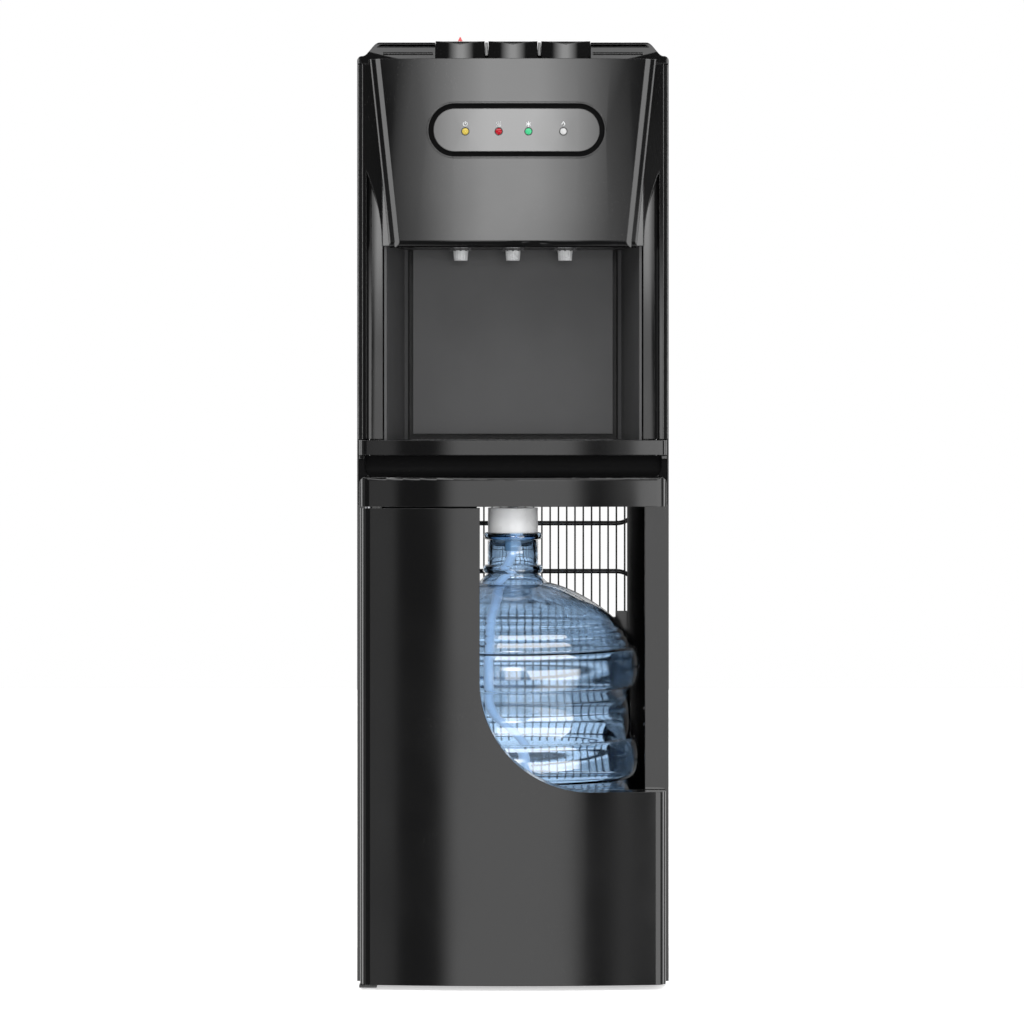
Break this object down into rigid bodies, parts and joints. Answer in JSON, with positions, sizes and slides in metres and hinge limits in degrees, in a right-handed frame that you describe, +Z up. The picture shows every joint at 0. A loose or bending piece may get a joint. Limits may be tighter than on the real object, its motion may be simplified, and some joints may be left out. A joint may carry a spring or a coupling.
{
  "type": "bottom-loading water dispenser",
  "caption": "Tall free-standing bottom-loading water dispenser with push-button taps over a niche, drip tray and cut-away bottle door.",
  "frame": {"origin": "on the floor, under the middle of the cabinet's overall box", "axes": "+Z up, front (door and taps) faces -Y, +X to the right when seen from the front"},
  "size_m": [0.322, 0.36, 0.9815],
  "materials": {
    "gloss_black": "high-gloss moulded black",
    "painted_steel": "semi-gloss black enamel",
    "matte_grey": "fine matt texture",
    "bare_steel": "plain rolled steel",
    "stainless": "stainless, brushed",
    "black_rubber": "moulded rubber",
    "clear_hose": "milky silicone",
    "white_plastic": "smooth moulded white",
    "bottle_blue": "clear blue polycarbonate",
    "lamp_yellow": "lamp lens",
    "lamp_red": "lamp lens",
    "lamp_green": "lamp lens",
    "lamp_white": "lamp lens",
    "circuit_green": "circuit board",
    "foam_white": "moulded foam",
    "copper": "drawn copper",
    "black_plastic": "matt black",
    "red_plastic": "smooth moulded red",
    "green_plastic": "smooth moulded green"
  },
  "bodies": {
    "cabinet": {"base_pan": "painted_steel", "feet": "black_rubber", "left_side_panel": "painted_steel", "right_side_panel": "painted_steel", "lower_back_panel": "painted_steel", "upper_back_panel": "painted_steel", "mid_shelf": "bare_steel", "front_fascia": "gloss_black", "left_column": "gloss_black", "right_column": "gloss_black", "niche_liner": "matte_grey", "niche_ceiling": "matte_grey", "head_front_panel": "gloss_black", "display_window": "gloss_black", "lamp_power": "lamp_yellow", "lamp_heating": "lamp_red", "lamp_cold": "lamp_green", "lamp_empty": "lamp_white", "lamp_board": "circuit_green", "top_cover": "gloss_black", "button_shaft": "bare_steel", "button_springs": "bare_steel", "valve_block": "white_plastic", "spouts": "clear_hose", "cold_tank": "stainless", "evaporator_coil": "copper", "insulation_jacket": "foam_white", "hot_tank": "stainless", "heater_band": "bare_steel", "compressor": "painted_steel", "compressor_grommets": "black_rubber", "condenser_tube": "painted_steel", "condenser_wires": "painted_steel", "condenser_brackets": "painted_steel", "filter_drier": "copper", "water_pump": "black_plastic", "supply_hose": "clear_hose", "tank_hoses": "clear_hose", "bottle": "bottle_blue", "probe_cap": "white_plastic", "dip_tube": "clear_hose", "dip_strainer": "white_plastic", "cord_gland": "black_plastic", "drain_plug": "black_plastic", "hinge_pins": "bare_steel", "back_screws": "bare_steel"},
    "door": {"door_panel": "painted_steel", "door_liner": "matte_grey", "door_magnet": "black_rubber"},
    "tray": {"drip_tray": "gloss_black"},
    "grille": {"drip_grille": "matte_grey"},
    "hot_button": {"button_hot": "gloss_black"},
    "room_button": {"button_room": "gloss_black"},
    "cold_button": {"button_cold": "gloss_black"},
    "hot_plunger": {"plunger_hot": "white_plastic"},
    "room_plunger": {"plunger_room": "white_plastic"},
    "cold_plunger": {"plunger_cold": "white_plastic"},
    "lock": {"child_lock": "red_plastic"},
    "hot_rocker": {"hot_switch": "red_plastic"},
    "cold_rocker": {"cold_switch": "green_plastic"}
  },
  "joints": [
    {"name": "door_hinge", "type": "hinge", "parent": "cabinet", "child": "door", "pos_m": [-0.149, -0.161, 0.25], "axis": [0, 0, -1], "range_deg": [0, 110]},
    {"name": "tray_slide", "type": "slide", "parent": "cabinet", "child": "tray", "axis": [0, -1, 0], "range_m": [0, 0.16]},
    {"name": "grille_lift", "type": "slide", "parent": "tray", "child": "grille", "axis": [0, 0, 1], "range_m": [0, 0.06]},
    {"name": "hot_press", "type": "hinge", "parent": "cabinet", "child": "hot_button", "pos_m": [-0.0545, -0.05, 0.957], "axis": [1, 0, 0], "range_deg": [0, 4], "stiffness_Nm_per_rad": 1.5, "springref_deg": -5.73},
    {"name": "hot_valve", "type": "slide", "parent": "cabinet", "child": "hot_plunger", "axis": [0, 0, -1], "range_m": [0, 0.004]},
    {"name": "room_press", "type": "hinge", "parent": "cabinet", "child": "room_button", "pos_m": [0, -0.05, 0.957], "axis": [1, 0, 0], "range_deg": [0, 4], "stiffness_Nm_per_rad": 1.5, "springref_deg": -5.73},
    {"name": "room_valve", "type": "slide", "parent": "cabinet", "child": "room_plunger", "axis": [0, 0, -1], "range_m": [0, 0.004]},
    {"name": "cold_press", "type": "hinge", "parent": "cabinet", "child": "cold_button", "pos_m": [0.0545, -0.05, 0.957], "axis": [1, 0, 0], "range_deg": [0, 4], "stiffness_Nm_per_rad": 1.5, "springref_deg": -5.73},
    {"name": "cold_valve", "type": "slide", "parent": "cabinet", "child": "cold_plunger", "axis": [0, 0, -1], "range_m": [0, 0.004]},
    {"name": "lock_slide", "type": "slide", "parent": "hot_button", "child": "lock", "axis": [0, 1, 0], "range_m": [0, 0.006], "stiffness_N_per_m": 150, "springref_m": -0.004},
    {"name": "hot_switch_tip", "type": "hinge", "parent": "cabinet", "child": "hot_rocker", "pos_m": [-0.06, 0.1615, 0.907], "axis": [-1, 0, 0], "range_deg": [0, 16]},
    {"name": "cold_switch_tip", "type": "hinge", "parent": "cabinet", "child": "cold_rocker", "pos_m": [0.06, 0.1615, 0.907], "axis": [-1, 0, 0], "range_deg": [0, 16]}
  ],
  "couplings": [
    {"joint": "hot_valve", "follows": "hot_press", "m_per_rad": 0.0528},
    {"joint": "room_valve", "follows": "room_press", "m_per_rad": 0.0528},
    {"joint": "cold_valve", "follows": "cold_press", "m_per_rad": 0.0528}
  ]
}
